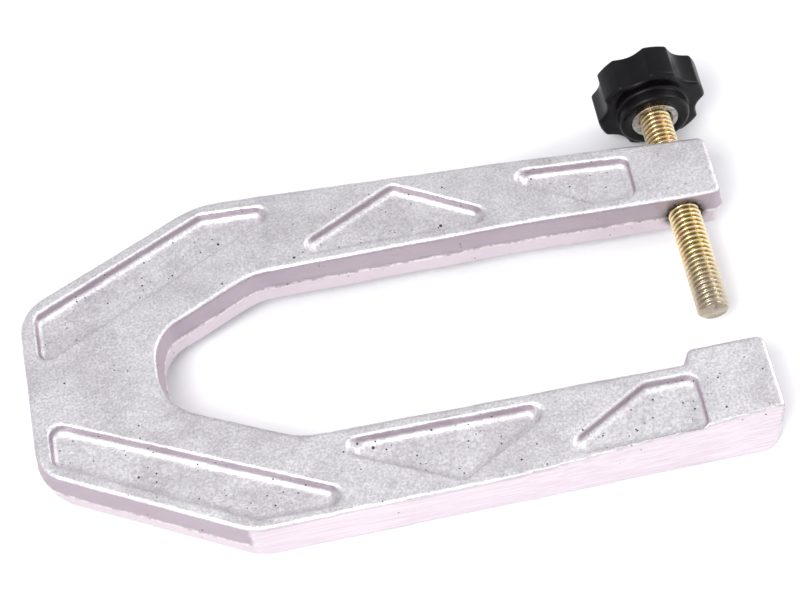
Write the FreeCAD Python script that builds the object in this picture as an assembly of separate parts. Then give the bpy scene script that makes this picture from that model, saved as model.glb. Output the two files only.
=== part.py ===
import FreeCAD, Part
import math
import os
from FreeCAD import Vector

# Deep-throat C clamp, lying on one flat side. All sizes are in millimetres.
# The origin is the centre of the anvil face, on the screw's axis. +X runs along the arms from the
# spine to the open jaws, +Y along the screw from the anvil to the knob, +Z is square to the flat sides.

# Frame casting: overall sizes
THROAT_DEPTH = 158.0        # screw axis to the inner wall of the spine
JAW_OPENING = 49.7          # anvil face to the inner edge of the upper arm
FRAME_THICKNESS = 15.6
SPINE_WIDTH = 38.0
SPINE_LEAN = 1.7            # the spine is this much narrower at its lower shoulder
UPPER_OVERHANG = 10.8       # screw axis to the end of the upper arm
LOWER_OVERHANG = 9.6        # screw axis to the end of the anvil block
ANVIL_LENGTH = 21.6
ANVIL_STEP = 4.4            # anvil face above the lower arm's inner edge

# Frame casting: arm widths, square to the arms
UPPER_JAW_WIDTH = 20.0
UPPER_BEND_WIDTH = 23.2
UPPER_ROOT_WIDTH = 28.3
UPPER_BEND = 50.0           # screw axis to the bend in the upper arm's outer edge
LOWER_JAW_WIDTH = 23.4
LOWER_ROOT_WIDTH = 26.0
UPPER_PAD = (45.0, 2.2)     # the upper arm swells inwards over this length, by this much
UPPER_INNER_RISE = 1.0      # rise of the upper arm's inner edge from the pad to the throat
LOWER_INNER_RISE = 1.2

# Shoulders and throat corners: run along X, then drop along Y
UPPER_SHOULDER = (55.0, 26.0)
LOWER_SHOULDER = (56.5, 30.6)
UPPER_THROAT = (30.6, 14.5)
LOWER_THROAT = (37.0, 18.5)

# Frame casting: corner radii seen from above
JAW_CORNER = 2.0
ANVIL_OUTER_CORNER = 7.0
STEP_CORNER = 1.5
STEP_FILLET = 2.7
PAD_CORNER = 60.0
BEND_CORNER = 150.0
UPPER_SHOULDER_CORNER = 32.0
LOWER_SHOULDER_CORNER = 16.0
SPINE_CORNER = 12.0
UPPER_THROAT_CORNER = 12.5
LOWER_THROAT_CORNER = 16.0
THROAT_ENTRY_CORNER = 20.0
LEAST_CORNER = 0.2

# Sand casting: draft, parting-line ridge, worn edges and the ground outer faces
DRAFT = math.radians(6.0)
RIDGE_HEIGHT = 0.4
RIDGE_HALF_WIDTH = 0.7
EDGE_ROUND = 1.0
GRIND_START = 65.0          # screw axis to where the slanted grinding of the lower arm begins
GRIND_TOP = 5.2             # metal ground off the upper edge at the end of the lower arm
GRIND_MARGIN = 12.0
GRIND_DEPTH = 60.0

# Pockets in both flat sides
POCKET_DEPTH = 3.2
POCKET_DRAFT = math.radians(9.0)
POCKET_CORNER = 2.5
POCKET_FLOOR_FILLET = 1.9
POCKET_RIM_ROUND = 0.45
OUTER_RIM = 3.9
INNER_RIM = 3.4
SPINE_RIM = 4.2
TIP_REACH = 2.0             # how far a middle pocket's pointed tip may reach into the rim
BOSS_LENGTH = (23.5, 21.1)  # upper and lower solid jaw end, up to its last pocket
ROOT_TIP_REACH = (28.5, 34.0)   # upper and lower root pocket: past the shoulder corner
ROOT_FOOT = (17.3, 13.5)        # upper and lower root pocket: height of its foot at the spine
JAW_POCKET_LONG = (43.0, 44.8)  # upper and lower jaw pocket: long side
JAW_POCKET_SHORT = (13.5, 14.6)
RIB_ROOT = (14.0, 10.3)         # rib between the root pocket and the middle pocket
RIB_JAW = (11.0, 10.8)          # rib between the middle pocket and the jaw pocket

# Screw: a coarse 3/8 inch thread, sixteen to the inch
SCREW_DIAMETER = 9.45
THREAD_PITCH = 25.4 / 16
THREAD_DEPTH = 0.875
CREST_FLAT = 0.2
FLANK_ANGLE = math.radians(30.0)
ROOT_OVERLAP = 0.15
SCREW_CHAMFER = 0.7
TIP_GAP = 14.9              # screw tip to the anvil face
THREAD_CLEARANCE = 0.06
BORE_CHAMFER = 0.6

# Knob and its metal bush
KNOB_GAP = 13.7             # upper arm's outer face to the hub
HUB_PROJECTION = 4.3
HUB_DIAMETER = 21.6
HUB_EDGE_ROUND = 1.2
KNOB_DIAMETER = 33.0
KNOB_THICKNESS = 11.6
KNOB_LOBES = 6
SCALLOP_RADIUS = 6.5
SCALLOP_DEPTH = 2.2
SCALLOP_ANGLE = 41.0        # turn of the first scallop from straight up, towards the jaw end
LOBE_ROUND = 1.4
KNOB_EDGE_ROUND = 1.1
KNOB_CROWN = 1.2            # height of the dome on the knob's outer face
KNOB_DISH = (9.0, 0.8)      # radius and depth of the dish in that face
SCREW_SEAT = 3.8            # solid plastic between the screw's end and the dish
BUSH_DIAMETER = 14.3
BUSH_LENGTH = 9.5
BUSH_CHAMFER = 0.8
RUNNING_CLEARANCE = 0.03    # round the bush, on its radius

HALF_THICKNESS = FRAME_THICKNESS / 2
SCREW_RADIUS = SCREW_DIAMETER / 2
BREAKOUT = 1.0              # how far a cutting tool runs past a face
ON_PLANE = 1e-4


def write(node, shape):
    """Write one sub-part as its own STEP file."""
    shape.exportStep(f"parts/{node}.step")


# ---- plane geometry of the outline ----

def line(start, end):
    """A directed line as a point and a unit direction."""
    length = math.hypot(end[0] - start[0], end[1] - start[1])
    return start, ((end[0] - start[0]) / length, (end[1] - start[1]) / length)


def inset(directed, distance):
    """The line moved to its left by a distance."""
    (x, y), (dx, dy) = directed
    return (x - dy * distance, y + dx * distance), (dx, dy)


def crossing(first, second):
    """The point where two lines meet."""
    (x1, y1), (dx1, dy1) = first
    (x2, y2), (dx2, dy2) = second
    along = ((x2 - x1) * dy2 - (y2 - y1) * dx2) / (dx1 * dy2 - dy1 * dx2)
    return x1 + dx1 * along, y1 + dy1 * along


def reverse(directed):
    """The same line, followed the other way."""
    point, (dx, dy) = directed
    return point, (-dx, -dy)


def height_on(directed, x):
    """The line's Y at one X."""
    (px, py), (dx, dy) = directed
    return py + dy / dx * (x - px)


def grown(corners, distance):
    """Move every side of a rounded outline outwards; its corners stay tangent."""
    result = []
    for index, (x, y, radius) in enumerate(corners):
        before = corners[index - 1]
        after = corners[(index + 1) % len(corners)]
        ax, ay = line(before[:2], (x, y))[1]
        bx, by = line((x, y), after[:2])[1]
        turn = ax * by - ay * bx
        share = distance / (1 + ax * bx + ay * by)
        corner = max(radius + math.copysign(distance, turn), LEAST_CORNER)
        result.append((x + share * (ay + by), y - share * (ax + bx), corner))
    return result


def outline(corners, z):
    """A closed wire of straight sides and tangent arcs at one height."""
    arcs = []
    for index, (x, y, radius) in enumerate(corners):
        before = corners[index - 1]
        after = corners[(index + 1) % len(corners)]
        corner = Vector(x, y, z)
        back = Vector(before[0], before[1], z) - corner
        ahead = Vector(after[0], after[1], z) - corner
        half_turn = (math.pi - back.getAngle(ahead)) / 2
        room = 0.48 * min(back.Length, ahead.Length)
        tangent = min(radius * math.tan(half_turn), room)
        fitted = tangent / math.tan(half_turn)
        start = corner + back.normalize() * tangent
        end = corner + ahead.normalize() * tangent
        centre_way = (start + end) * 0.5 - corner
        centre_way.normalize()
        middle = corner + centre_way * (fitted / math.cos(half_turn) - fitted)
        arcs.append((start, middle, end))
    edges = []
    for index, (start, middle, end) in enumerate(arcs):
        edges.append(Part.Arc(start, middle, end).toShape())
        edges.append(Part.LineSegment(end, arcs[(index + 1) % len(arcs)][0]).toShape())
    return Part.Wire(edges)


# ---- the frame's outline ----

def frame_points():
    """The outline's corners in plan, by name."""
    spine_inner = -THROAT_DEPTH
    spine_outer = spine_inner - SPINE_WIDTH
    lower_inner = -ANVIL_STEP
    throat_low = lower_inner + LOWER_INNER_RISE
    pad_start, pad_height = UPPER_PAD
    arm_inner = JAW_OPENING + pad_height
    throat_high = arm_inner + UPPER_INNER_RISE
    root_x = spine_outer + UPPER_SHOULDER[0]
    low_root_x = spine_outer + SPINE_LEAN + LOWER_SHOULDER[0]
    upper_root = throat_high + UPPER_ROOT_WIDTH
    lower_root = throat_low - LOWER_ROOT_WIDTH
    return {
        "lower_root": (low_root_x, lower_root),
        "lower_end": (LOWER_OVERHANG, lower_inner - LOWER_JAW_WIDTH),
        "anvil_end": (LOWER_OVERHANG, 0.0),
        "anvil_back": (LOWER_OVERHANG - ANVIL_LENGTH, 0.0),
        "step_foot": (LOWER_OVERHANG - ANVIL_LENGTH - 0.6, lower_inner),
        "throat_low": (spine_inner + LOWER_THROAT[0], throat_low),
        "throat_low_back": (spine_inner, throat_low + LOWER_THROAT[1]),
        "throat_high_back": (spine_inner, throat_high - UPPER_THROAT[1]),
        "throat_high": (spine_inner + UPPER_THROAT[0], throat_high),
        "pad_start": (-pad_start, arm_inner),
        "pad_end": (0.0, JAW_OPENING),
        "upper_inner_end": (UPPER_OVERHANG, JAW_OPENING),
        "upper_outer_end": (UPPER_OVERHANG, JAW_OPENING + UPPER_JAW_WIDTH),
        "upper_bend": (-UPPER_BEND, arm_inner + UPPER_BEND_WIDTH),
        "upper_root": (root_x, upper_root),
        "spine_high": (spine_outer, upper_root - UPPER_SHOULDER[1]),
        "spine_low": (spine_outer + SPINE_LEAN, lower_root + LOWER_SHOULDER[1]),
    }


CORNER_RADII = {
    "lower_root": LOWER_SHOULDER_CORNER,
    "lower_end": ANVIL_OUTER_CORNER,
    "anvil_end": JAW_CORNER,
    "anvil_back": STEP_CORNER,
    "step_foot": STEP_FILLET,
    "throat_low": THROAT_ENTRY_CORNER,
    "throat_low_back": LOWER_THROAT_CORNER,
    "throat_high_back": UPPER_THROAT_CORNER,
    "throat_high": THROAT_ENTRY_CORNER,
    "pad_start": PAD_CORNER,
    "pad_end": PAD_CORNER,
    "upper_inner_end": JAW_CORNER,
    "upper_outer_end": JAW_CORNER,
    "upper_bend": BEND_CORNER,
    "upper_root": UPPER_SHOULDER_CORNER,
    "spine_high": SPINE_CORNER,
    "spine_low": SPINE_CORNER,
}


def frame_corners(points):
    """The outline's corners with their radii, counter-clockwise from above."""
    return [(x, y, CORNER_RADII[name]) for name, (x, y) in points.items()]


# ---- pockets ----

def polygon(lines, radius):
    """Rounded corners where each line meets the next."""
    corners = []
    for index, directed in enumerate(lines):
        x, y = crossing(directed, lines[(index + 1) % len(lines)])
        corners.append((x, y, radius))
    return corners


def middle_pocket(inner, falling, rim, rising):
    """A triangle between two ribs, cut off at the rim where its tip would reach far into it."""
    (px, py), (dx, dy) = rim
    tip_x, tip_y = crossing(falling, rising)
    inside = dx * (tip_y - py) - dy * (tip_x - px)
    if inside < -TIP_REACH:
        return polygon([inner, falling, rim, rising], POCKET_CORNER)
    return polygon([inner, falling, rising], POCKET_CORNER)


def upper_pockets(points):
    """The three pockets that leave a zig-zag rib in the upper arm."""
    spine = inset(line(points["spine_high"], points["spine_low"]), SPINE_RIM)
    shoulder = inset(line(points["upper_root"], points["spine_high"]), OUTER_RIM)
    root_outer = inset(line(points["upper_bend"], points["upper_root"]), OUTER_RIM)
    jaw_outer = inset(line(points["upper_outer_end"], points["upper_bend"]), OUTER_RIM)
    inner = inset(line(points["throat_high"], points["pad_start"]), INNER_RIM)
    pad = inset(line(points["pad_start"], points["pad_end"]), INNER_RIM)
    boss_x = UPPER_OVERHANG - BOSS_LENGTH[0]
    boss = line((boss_x, 0.0), (boss_x, JAW_OPENING))

    top_x, top_y = crossing(spine, shoulder)
    foot = (top_x, top_y - ROOT_FOOT[0])
    tip_x = points["upper_root"][0] + ROOT_TIP_REACH[0]
    root_diagonal = line(foot, (tip_x, height_on(root_outer, tip_x)))
    root_pocket = polygon([root_diagonal, root_outer, shoulder, spine], POCKET_CORNER)

    long_x = boss_x - JAW_POCKET_LONG[0]
    short_x = boss_x - JAW_POCKET_SHORT[0]
    jaw_diagonal = line((long_x, height_on(jaw_outer, long_x)), (short_x, height_on(pad, short_x)))
    jaw_pocket = polygon([pad, boss, jaw_outer, jaw_diagonal], POCKET_CORNER)

    rising = inset(reverse(root_diagonal), RIB_ROOT[0])
    falling = inset(reverse(jaw_diagonal), RIB_JAW[0])
    return [root_pocket, middle_pocket(inner, falling, root_outer, rising), jaw_pocket]


def lower_pockets(points):
    """The matching three pockets in the lower arm."""
    spine = inset(line(points["spine_high"], points["spine_low"]), SPINE_RIM)
    shoulder = inset(line(points["spine_low"], points["lower_root"]), OUTER_RIM)
    outer = inset(line(points["lower_root"], points["lower_end"]), INNER_RIM)
    inner = inset(line(points["step_foot"], points["throat_low"]), INNER_RIM)
    boss_x = LOWER_OVERHANG - BOSS_LENGTH[1]
    boss = line((boss_x, -ANVIL_STEP), (boss_x, 0.0))

    low_x, low_y = crossing(spine, shoulder)
    foot = (low_x, low_y + ROOT_FOOT[1])
    tip_x = points["lower_root"][0] + ROOT_TIP_REACH[1]
    root_diagonal = line((tip_x, height_on(outer, tip_x)), foot)
    root_pocket = polygon([spine, shoulder, outer, root_diagonal], POCKET_CORNER)

    long_x = boss_x - JAW_POCKET_LONG[1]
    short_x = boss_x - JAW_POCKET_SHORT[1]
    jaw_diagonal = line((short_x, height_on(inner, short_x)), (long_x, height_on(outer, long_x)))
    jaw_pocket = polygon([outer, boss, inner, jaw_diagonal], POCKET_CORNER)

    falling = inset(reverse(root_diagonal), RIB_ROOT[1])
    rising = inset(reverse(jaw_diagonal), RIB_JAW[1])
    return [root_pocket, middle_pocket(inner, falling, outer, rising), jaw_pocket]


def pocket_tool(corners):
    """The solid that a pocket in the upper side removes: drafted walls and a filleted floor."""
    floor_z = HALF_THICKNESS - POCKET_DEPTH
    lip_z = HALF_THICKNESS + BREAKOUT
    floor = outline(grown(corners, -POCKET_DEPTH * math.tan(POCKET_DRAFT)), floor_z)
    lip = outline(grown(corners, BREAKOUT * math.tan(POCKET_DRAFT)), lip_z)
    tool = Part.makeLoft([floor, lip], True, True)
    return tool.makeFillet(POCKET_FLOOR_FILLET, edges_at(tool, floor_z))


def edges_at(shape, z):
    """The edges that lie in one level plane."""
    flat = []
    for edge in shape.Edges:
        box = edge.BoundBox
        if abs(box.ZMin - z) < ON_PLANE and abs(box.ZMax - z) < ON_PLANE:
            flat.append(edge)
    return flat


def turned_over(shape):
    """The shape mirrored to the lower flat side."""
    return shape.mirror(Vector(0, 0, 0), Vector(0, 0, 1))


# ---- the casting ----

def casting_body(corners):
    """The drafted body, widest at the parting line, with rounded edges at both flat sides."""
    ridge_foot = (HALF_THICKNESS - RIDGE_HALF_WIDTH) * math.tan(DRAFT)
    ridge_top = HALF_THICKNESS * math.tan(DRAFT) + RIDGE_HEIGHT
    levels = [
        (-HALF_THICKNESS, 0.0),
        (-RIDGE_HALF_WIDTH, ridge_foot),
        (0.0, ridge_top),
        (RIDGE_HALF_WIDTH, ridge_foot),
        (HALF_THICKNESS, 0.0),
    ]
    body = Part.makeLoft([outline(grown(corners, out), z) for z, out in levels], True, True)
    edges = edges_at(body, HALF_THICKNESS) + edges_at(body, -HALF_THICKNESS)
    return body.makeFillet(EDGE_ROUND, edges)


def rim_edges(body, plain_centres, z):
    """The edges at one flat side that the pockets added."""
    rims = []
    for edge in edges_at(body, z):
        centre = edge.CenterOfMass
        if all(centre.distanceToPoint(old) > ON_PLANE for old in plain_centres):
            rims.append(edge)
    return rims


def cut_pockets(body, pockets):
    """Sink the pockets in both sides and round their rims."""
    centres = [edge.CenterOfMass for edge in body.Edges]
    for corners in pockets:
        tool = pocket_tool(corners)
        body = body.cut(tool).cut(turned_over(tool))
    rims = rim_edges(body, centres, HALF_THICKNESS) + rim_edges(body, centres, -HALF_THICKNESS)
    return body.makeFillet(POCKET_RIM_ROUND, rims)


def prism(corners_xy, low, high):
    """An upright prism on a polygon."""
    wire = Part.makePolygon([Vector(x, y, low) for x, y in corners_xy + corners_xy[:1]])
    return Part.Face(wire).extrude(Vector(0, 0, high - low))


def upper_grinding(points):
    """The metal ground off the upper arm's outer face, which leaves it flat and upright."""
    root, bend, end = points["upper_root"], points["upper_bend"], points["upper_outer_end"]
    edge = line(bend, end)
    far_x = UPPER_OVERHANG + GRIND_MARGIN
    high = root[1] + GRIND_MARGIN
    sides = [root, bend, (far_x, height_on(edge, far_x)), (far_x, high), (root[0], high)]
    return prism(sides, -FRAME_THICKNESS, FRAME_THICKNESS)


def lower_grinding(points):
    """The metal ground off the lower arm's outer face: upright at its root, slanted at its end."""
    edge = line(points["lower_root"], points["lower_end"])
    end_x = LOWER_OVERHANG + GRIND_MARGIN
    run = (end_x + GRIND_START) / (LOWER_OVERHANG + GRIND_START)
    low = points["lower_root"][1] - GRIND_MARGIN
    slant = FRAME_THICKNESS / HALF_THICKNESS
    sections = []
    for x, tilt in ((points["lower_root"][0], 0.0), (-GRIND_START, 0.0), (end_x, GRIND_TOP * run)):
        y = height_on(edge, x)
        top = y + tilt * (1 + slant) / 2
        bottom = y + tilt * (1 - slant) / 2
        profile = [(top, FRAME_THICKNESS), (bottom, -FRAME_THICKNESS), (low, -FRAME_THICKNESS)]
        profile += [(low, FRAME_THICKNESS), (top, FRAME_THICKNESS)]
        sections.append(Part.makePolygon([Vector(x, py, pz) for py, pz in profile]))
    return Part.makeLoft(sections, True, True)


def anvil_facing(points):
    """The thin layer machined off to leave the anvil face flat."""
    start = points["step_foot"][0] - BREAKOUT
    end = LOWER_OVERHANG + BREAKOUT + ANVIL_STEP
    layer = HALF_THICKNESS * math.tan(DRAFT) + RIDGE_HEIGHT + BREAKOUT
    return Part.makeBox(end - start, layer, 2 * FRAME_THICKNESS, Vector(start, 0, -FRAME_THICKNESS))


def end_facing(corners):
    """The parting ridge ground off the lower arm's end and its outer corner."""
    start = LOWER_OVERHANG - ANVIL_OUTER_CORNER
    block = prism([(start, -GRIND_DEPTH), (start + GRIND_DEPTH, -GRIND_DEPTH),
                   (start + GRIND_DEPTH, -JAW_CORNER), (start, -JAW_CORNER)], -FRAME_THICKNESS, FRAME_THICKNESS)
    kept = Part.Face(outline(corners, -FRAME_THICKNESS)).extrude(Vector(0, 0, 2 * FRAME_THICKNESS))
    return block.cut(kept)


def along_screw(shape, y):
    """Turn a shape made along +Z to lie along +Y and start at one Y."""
    turned = shape.copy()
    turned.rotate(Vector(0, 0, 0), Vector(1, 0, 0), -90)
    turned.translate(Vector(0, y, 0))
    return turned


def helix(turns, radius):
    """A right-hand helix about Z as one edge per turn, drawn on its cylinder."""
    wall = Part.Cylinder()
    wall.Radius = radius
    edges = []
    for turn in range(turns):
        start = FreeCAD.Base.Vector2d(2 * math.pi * turn, THREAD_PITCH * turn)
        end = FreeCAD.Base.Vector2d(2 * math.pi * (turn + 1), THREAD_PITCH * (turn + 1))
        edges.append(Part.Geom2d.Line2dSegment(start, end).toShape(wall))
    return Part.Wire(edges)


def threaded_bar(length, clearance):
    """A right-hand threaded bar along +Z; a clearance above zero gives the tap for its hole."""
    crest = SCREW_RADIUS + clearance
    root = SCREW_RADIUS - THREAD_DEPTH + clearance
    sunk = root - ROOT_OVERLAP
    side_gap = clearance / math.cos(FLANK_ANGLE)

    def half_width(radius):
        return CREST_FLAT / 2 + (SCREW_RADIUS - radius) * math.tan(FLANK_ANGLE) + side_gap

    profile = []
    for radius, side in ((sunk, -1), (sunk, 1), (crest, 1), (crest, -1), (sunk, -1)):
        profile.append(Vector(radius, 0, side * half_width(radius)))
    sweep = Part.BRepOffsetAPI.MakePipeShell(helix(math.ceil(length / THREAD_PITCH) + 2, root))
    sweep.setFrenetMode(True)
    sweep.add(Part.makePolygon(profile))
    sweep.build()
    sweep.makeSolid()
    ridge = sweep.shape()
    ridge.translate(Vector(0, 0, -THREAD_PITCH))
    ridge = ridge.common(Part.makeCylinder(crest + BREAKOUT, length))
    return Part.makeCylinder(root, length).fuse(ridge)


def arm_outer_y(points):
    """The upper arm's outer face at the screw's axis."""
    return height_on(line(points["upper_bend"], points["upper_outer_end"]), 0.0)


def bore_tool(points):
    """The tap through the upper arm, in step with the screw, with a worn mouth at each end."""
    inner = JAW_OPENING - HALF_THICKNESS * math.tan(DRAFT) - RIDGE_HEIGHT
    outer = arm_outer_y(points)
    turns_before = math.floor((inner - BREAKOUT - TIP_GAP) / THREAD_PITCH)
    start = TIP_GAP + turns_before * THREAD_PITCH
    tap = along_screw(threaded_bar(outer + BREAKOUT - start, THREAD_CLEARANCE), start)
    hole = SCREW_RADIUS + THREAD_CLEARANCE
    reach = BREAKOUT + 2 * BORE_CHAMFER
    wide = hole + BORE_CHAMFER + BREAKOUT
    narrow = hole - BORE_CHAMFER
    inner_mouth = along_screw(Part.makeCone(wide, narrow, reach), inner - BREAKOUT)
    outer_mouth = along_screw(Part.makeCone(narrow, wide, reach), outer - 2 * BORE_CHAMFER)
    return tap.fuse([inner_mouth, outer_mouth])


def make_frame(points):
    """The one-piece aluminium casting."""
    corners = frame_corners(points)
    body = casting_body(corners)
    body = cut_pockets(body, upper_pockets(points) + lower_pockets(points))
    body = body.cut(upper_grinding(points))
    body = body.cut(lower_grinding(points))
    body = body.cut(anvil_facing(points))
    body = body.cut(end_facing(corners))
    return body.cut(bore_tool(points))


# ---- screw, knob and bush ----

def screw_top(points):
    """Where the screw ends inside the knob."""
    hub = arm_outer_y(points) + KNOB_GAP
    return hub + HUB_PROJECTION + KNOB_THICKNESS + KNOB_CROWN - KNOB_DISH[1] - SCREW_SEAT


def make_screw(points):
    """The fully threaded screw, with a plain chamfered end at the tip."""
    length = screw_top(points) - TIP_GAP
    blank = Part.makeCylinder(SCREW_RADIUS + ON_PLANE, length)
    ends = edges_at(blank, 0.0) + edges_at(blank, length)
    blank = blank.makeChamfer(SCREW_CHAMFER, ends)
    return along_screw(threaded_bar(length, 0.0).common(blank), TIP_GAP)


def knob_disc():
    """The lobed body of the knob along +Z, standing on z = 0."""
    radius = KNOB_DIAMETER / 2
    disc = Part.makeCylinder(radius, KNOB_THICKNESS)
    reach = radius - SCALLOP_DEPTH + SCALLOP_RADIUS
    for index in range(KNOB_LOBES):
        angle = math.radians(SCALLOP_ANGLE + index * 360 / KNOB_LOBES)
        centre = Vector(reach * math.sin(angle), -reach * math.cos(angle), 0)
        disc = disc.cut(Part.makeCylinder(SCALLOP_RADIUS, KNOB_THICKNESS, centre))
    upright = [e for e in disc.Edges if e.BoundBox.ZLength > KNOB_THICKNESS - ON_PLANE]
    shoulders = [e for e in upright if len(disc.ancestorsOfType(e, Part.Face)) == 2]
    disc = disc.makeFillet(LOBE_ROUND, shoulders)
    rims = edges_at(disc, 0.0) + edges_at(disc, KNOB_THICKNESS)
    return disc.makeFillet(KNOB_EDGE_ROUND, rims)


def make_knob(points):
    """The moulded knob: lobed disc, round hub, low dome with a dish, and a blind bore."""
    hub_y = arm_outer_y(points) + KNOB_GAP
    hub = Part.makeCylinder(HUB_DIAMETER / 2, HUB_PROJECTION + BREAKOUT)
    hub = hub.makeFillet(HUB_EDGE_ROUND, edges_at(hub, 0.0))
    disc = knob_disc()
    disc.translate(Vector(0, 0, HUB_PROJECTION))
    back = HUB_PROJECTION + KNOB_THICKNESS
    base = KNOB_DIAMETER / 2 - SCALLOP_DEPTH - KNOB_EDGE_ROUND
    crown = Part.makeCone(base, base - 2 * KNOB_CROWN, KNOB_CROWN, Vector(0, 0, back))
    knob = hub.fuse([disc, crown]).removeSplitter()
    dish_radius, dish_depth = KNOB_DISH
    top = back + KNOB_CROWN
    dish = Part.makeCone(dish_radius - dish_depth, dish_radius, dish_depth, Vector(0, 0, top - dish_depth))
    seat = top - dish_depth - SCREW_SEAT
    bush_hole = Part.makeCylinder(BUSH_DIAMETER / 2 + RUNNING_CLEARANCE, BUSH_LENGTH + RUNNING_CLEARANCE)
    screw_hole = Part.makeCylinder(SCREW_RADIUS + THREAD_CLEARANCE, seat)
    knob = knob.cut([dish, bush_hole, screw_hole])
    return along_screw(knob, hub_y)


def make_bush(points):
    """The round metal bush flush with the hub, with a chamfered bore."""
    bush = Part.makeCylinder(BUSH_DIAMETER / 2, BUSH_LENGTH)
    bore = SCREW_RADIUS + THREAD_CLEARANCE
    bush = bush.cut(Part.makeCylinder(bore, BUSH_LENGTH))
    mouth = Part.makeCone(bore + BUSH_CHAMFER, bore, BUSH_CHAMFER)
    return along_screw(bush.cut(mouth), arm_outer_y(points) + KNOB_GAP)


def main():
    """Build every piece and write it."""
    os.makedirs("parts", exist_ok=True)
    points = frame_points()
    write("frame_casting", make_frame(points))
    write("clamp_screw", make_screw(points))
    write("hand_knob", make_knob(points))
    write("knob_bush", make_bush(points))


main()
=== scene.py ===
import logging
import math
from collections.abc import Callable, Sequence
from dataclasses import dataclass, field
from enum import Enum

import bmesh
import bpy
import numpy as np
from mathutils import Matrix, Vector, noise


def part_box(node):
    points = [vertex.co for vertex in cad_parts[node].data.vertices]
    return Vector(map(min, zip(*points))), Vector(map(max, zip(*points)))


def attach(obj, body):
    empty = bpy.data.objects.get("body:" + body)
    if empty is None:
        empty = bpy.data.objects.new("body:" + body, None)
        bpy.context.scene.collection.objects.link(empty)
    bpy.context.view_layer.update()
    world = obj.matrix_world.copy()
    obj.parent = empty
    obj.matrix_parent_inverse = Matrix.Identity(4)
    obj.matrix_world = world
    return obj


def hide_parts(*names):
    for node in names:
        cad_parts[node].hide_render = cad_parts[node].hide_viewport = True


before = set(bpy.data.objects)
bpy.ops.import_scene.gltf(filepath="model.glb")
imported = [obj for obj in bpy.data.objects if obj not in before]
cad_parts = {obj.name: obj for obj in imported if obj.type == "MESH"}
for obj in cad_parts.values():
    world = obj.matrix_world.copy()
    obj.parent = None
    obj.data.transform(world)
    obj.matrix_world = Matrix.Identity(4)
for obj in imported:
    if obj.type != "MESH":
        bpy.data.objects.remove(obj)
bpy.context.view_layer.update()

# A deep-throat C clamp: a sand-cast aluminium frame, a yellow-zinc screw and a moulded knob with a
# turned bush. All places are in metres in the CAD's own frame, worked out from the CAD nodes' boxes.

SEED = 7
log = logging.getLogger("clamp")


class Body(Enum):
    """The rigid bodies that pieces ride on."""

    FRAME = "frame"
    CARRIER = "bush_carrier"
    SCREW = "screw_and_knob"


class Node(Enum):
    """The CAD nodes."""

    FRAME = "frame_casting"
    SCREW = "clamp_screw"
    KNOB = "hand_knob"
    BUSH = "knob_bush"


class Slot(Enum):
    """The record's material slots."""

    ALUMINIUM = "cast_aluminium"
    ZINC = "zinc_plated_steel"
    PLASTIC = "knob_plastic"
    BUSH = "bush_metal"


def mm(value: float) -> float:
    """Millimetres in metres."""
    return value / 1000.0


def linear(colour: str) -> tuple[float, float, float, float]:
    """An sRGB hex colour as linear RGBA.

    Args:
        colour: six hex digits after a hash sign.

    Returns:
        The linear red, green and blue, with alpha 1.
    """
    channels = [int(colour[place : place + 2], 16) / 255.0 for place in (1, 3, 5)]
    bent = [c / 12.92 if c <= 0.04045 else ((c + 0.055) / 1.055) ** 2.4 for c in channels]
    return bent[0], bent[1], bent[2], 1.0


# ---- node graphs ----

SMOOTH = {"interpolation_type": "SMOOTHSTEP"}
COLOURS = {"data_type": "RGBA"}


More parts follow.
